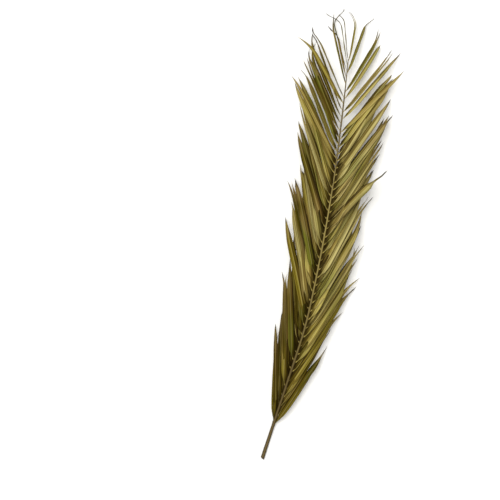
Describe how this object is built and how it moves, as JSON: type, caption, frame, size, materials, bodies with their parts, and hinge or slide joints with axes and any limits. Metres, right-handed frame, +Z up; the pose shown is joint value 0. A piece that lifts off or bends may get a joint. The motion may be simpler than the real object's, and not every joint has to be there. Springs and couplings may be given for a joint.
{
  "type": "dried palm leaf",
  "caption": "Dried feather palm leaf with a bare cut stalk, an arched tapering rib and narrow folded leaflets swept towards its tip along both sides.",
  "frame": {"origin": "middle of the bounding box's underside, on the surface that the leaf lies on", "axes": "+Y towards the leaf's tip, +X to its right as seen from above, +Z up out of its face"},
  "size_m": [0.2436, 0.7758, 0.0525],
  "materials": {
    "dried_leaf": "matte, fibrous, olive straw"
  },
  "bodies": {
    "root": {"palm_leaf": "dried_leaf"}
  },
  "joints": []
}
